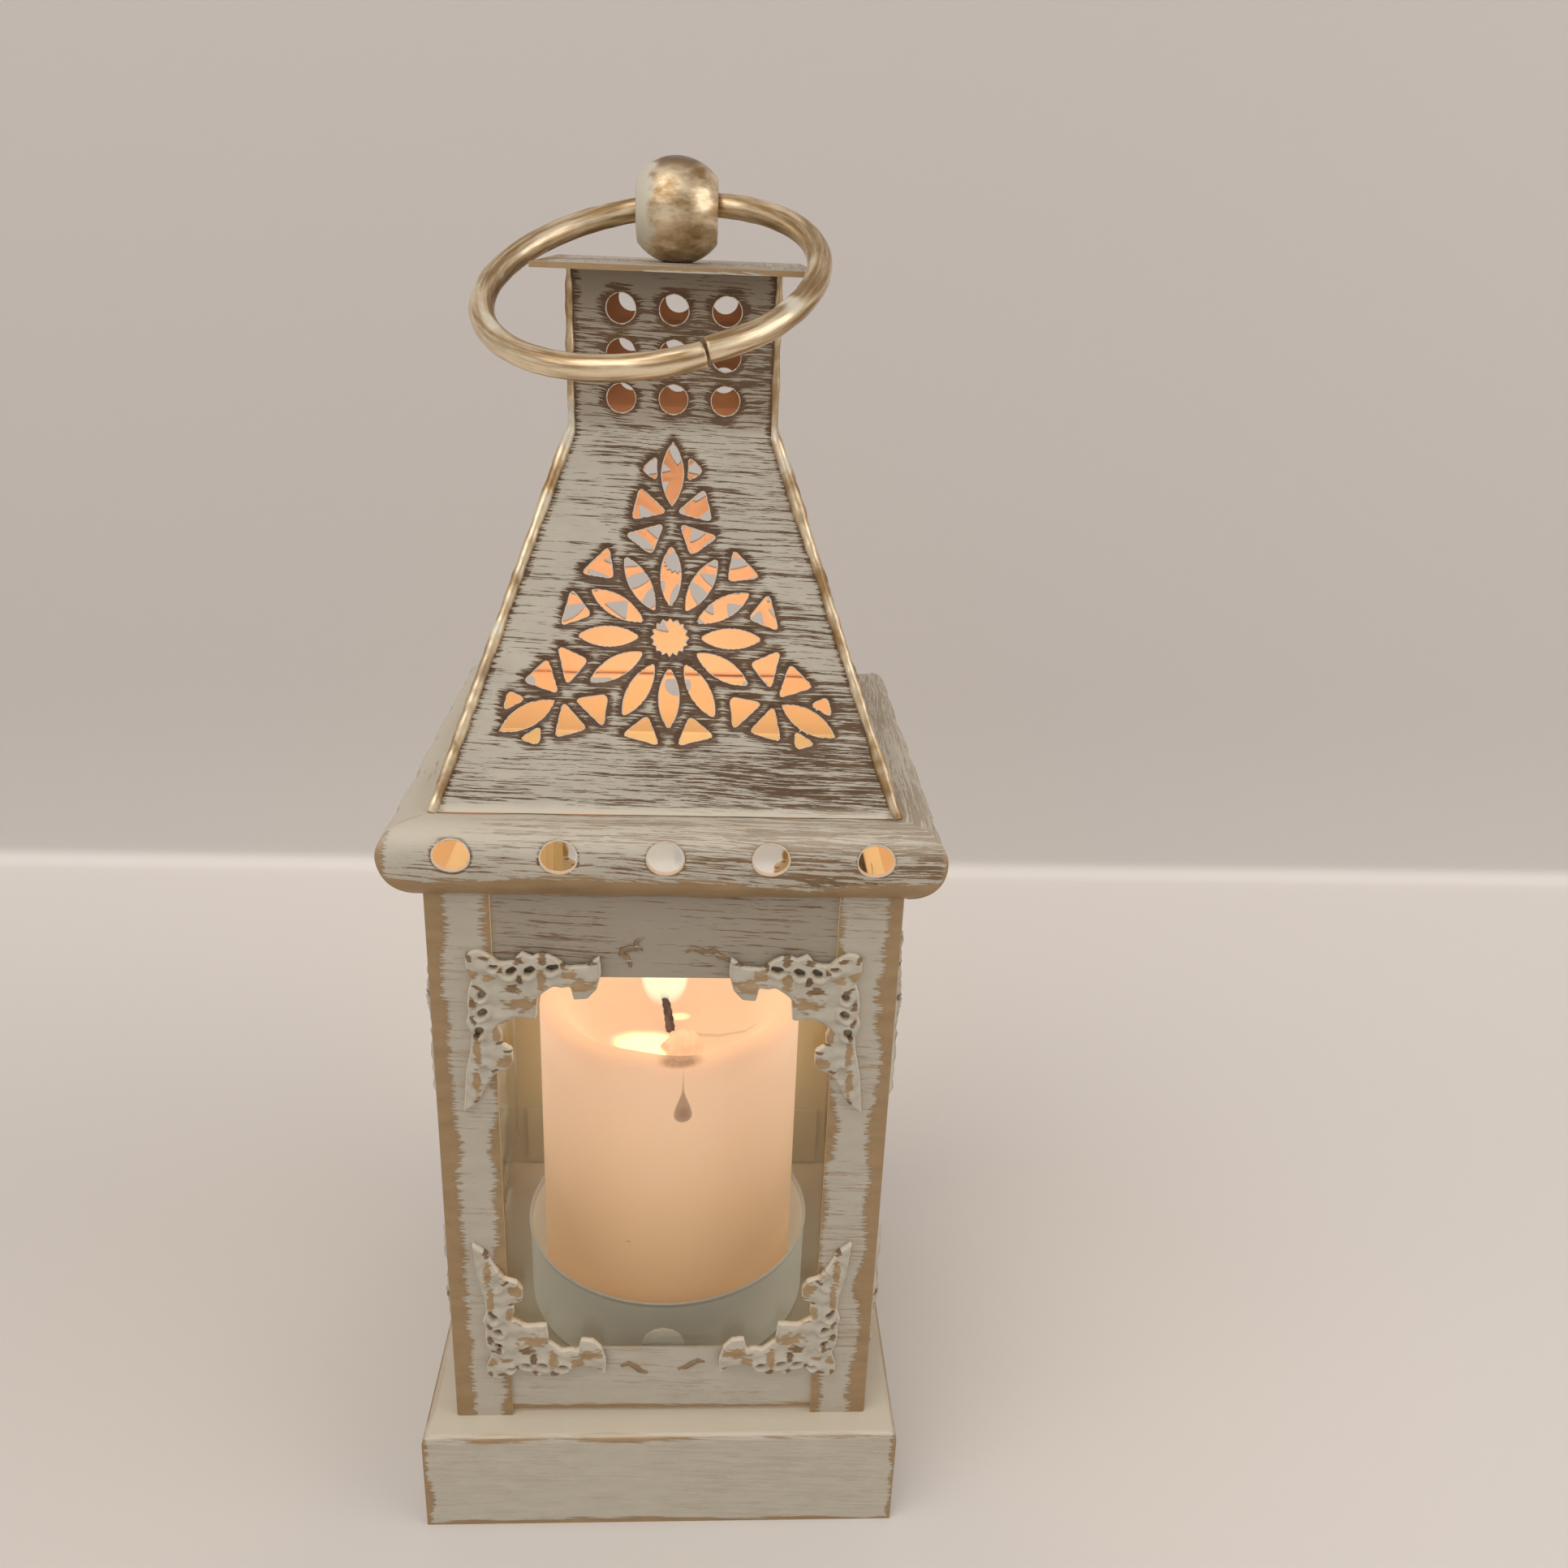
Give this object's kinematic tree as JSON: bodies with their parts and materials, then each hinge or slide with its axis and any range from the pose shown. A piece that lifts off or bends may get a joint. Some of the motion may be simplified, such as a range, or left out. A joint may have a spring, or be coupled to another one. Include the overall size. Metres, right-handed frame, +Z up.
{
  "type": "punched tin lantern",
  "caption": "Square tin candle lantern with glazed sides and a hinged door, a pierced steep roof with a square chimney, and a ring through a bead for carrying.",
  "frame": {"origin": "centre of the base tray's underside, on the surface that the lantern stands on", "axes": "+Z up, +X to the right of the glazed front, -Y out of the front; the hinged door is on the +Y side"},
  "size_m": [0.088, 0.0904, 0.2402],
  "materials": {
    "distressed_tin": "white paint dry brushed over bronze",
    "gilt_wire": "brushed champagne gold with worn white paint",
    "bronze_hardware": "worn bronze paint",
    "cup_tin": "dull tinned steel",
    "glass": "clear",
    "wax": "ivory wax, softly translucent",
    "wick": "burnt cotton"
  },
  "bodies": {
    "lantern": {"base_tray": "distressed_tin", "bottom_rail_front": "distressed_tin", "bottom_rail_left": "distressed_tin", "bottom_rail_right": "distressed_tin", "candle_cup": "cup_tin", "cap_plate": "distressed_tin", "door_header": "distressed_tin", "door_sill": "distressed_tin", "eave_back": "distressed_tin", "eave_front": "distressed_tin", "eave_left": "distressed_tin", "eave_right": "distressed_tin", "filigree_front_lower_left": "distressed_tin", "filigree_front_lower_right": "distressed_tin", "filigree_front_upper_left": "distressed_tin", "filigree_front_upper_right": "distressed_tin", "filigree_left_lower_left": "distressed_tin", "filigree_left_lower_right": "distressed_tin", "filigree_left_upper_left": "distressed_tin", "filigree_left_upper_right": "distressed_tin", "filigree_right_lower_left": "distressed_tin", "filigree_right_lower_right": "distressed_tin", "filigree_right_upper_left": "distressed_tin", "filigree_right_upper_right": "distressed_tin", "finial_bead": "gilt_wire", "finial_screw": "bronze_hardware", "glass_front": "glass", "glass_left": "glass", "glass_right": "glass", "hinge_pins": "bronze_hardware", "hinge_post_leaves": "bronze_hardware", "hip_seams": "gilt_wire", "latch_rivet": "bronze_hardware", "post_back_left": "distressed_tin", "post_back_right": "distressed_tin", "post_front_left": "distressed_tin", "post_front_right": "distressed_tin", "roof_panel_back": "distressed_tin", "roof_panel_front": "distressed_tin", "roof_panel_left": "distressed_tin", "roof_panel_right": "distressed_tin", "top_rail_front": "distressed_tin", "top_rail_left": "distressed_tin", "top_rail_right": "distressed_tin"},
    "ring": {"ring_handle": "gilt_wire"},
    "door": {"door_frame": "distressed_tin", "door_glass": "glass", "hinge_door_leaves": "bronze_hardware", "filigree_door_lower_left": "distressed_tin", "filigree_door_lower_right": "distressed_tin", "filigree_door_upper_left": "distressed_tin", "filigree_door_upper_right": "distressed_tin"},
    "latch": {"latch_button": "bronze_hardware"},
    "candle": {"candle": "wax", "wick": "wick"}
  },
  "joints": [
    {"name": "ring_swing", "type": "hinge", "parent": "lantern", "child": "ring", "pos_m": [0, 0, 0.2322], "axis": [-1, 0, 0], "range_deg": [0, 204]},
    {"name": "door_hinge", "type": "hinge", "parent": "lantern", "child": "door", "pos_m": [-0.0349, 0.0399, 0.076], "axis": [0, 0, 1], "range_deg": [0, 165]},
    {"name": "latch_turn", "type": "hinge", "parent": "lantern", "child": "latch", "pos_m": [0.0357, 0.0399, 0.07615], "axis": [0, 1, 0], "range_deg": [0, 90]},
    {"name": "candle_lift", "type": "slide", "parent": "lantern", "child": "candle", "axis": [0, 0, 1], "range_m": [0, 0.02]}
  ]
}
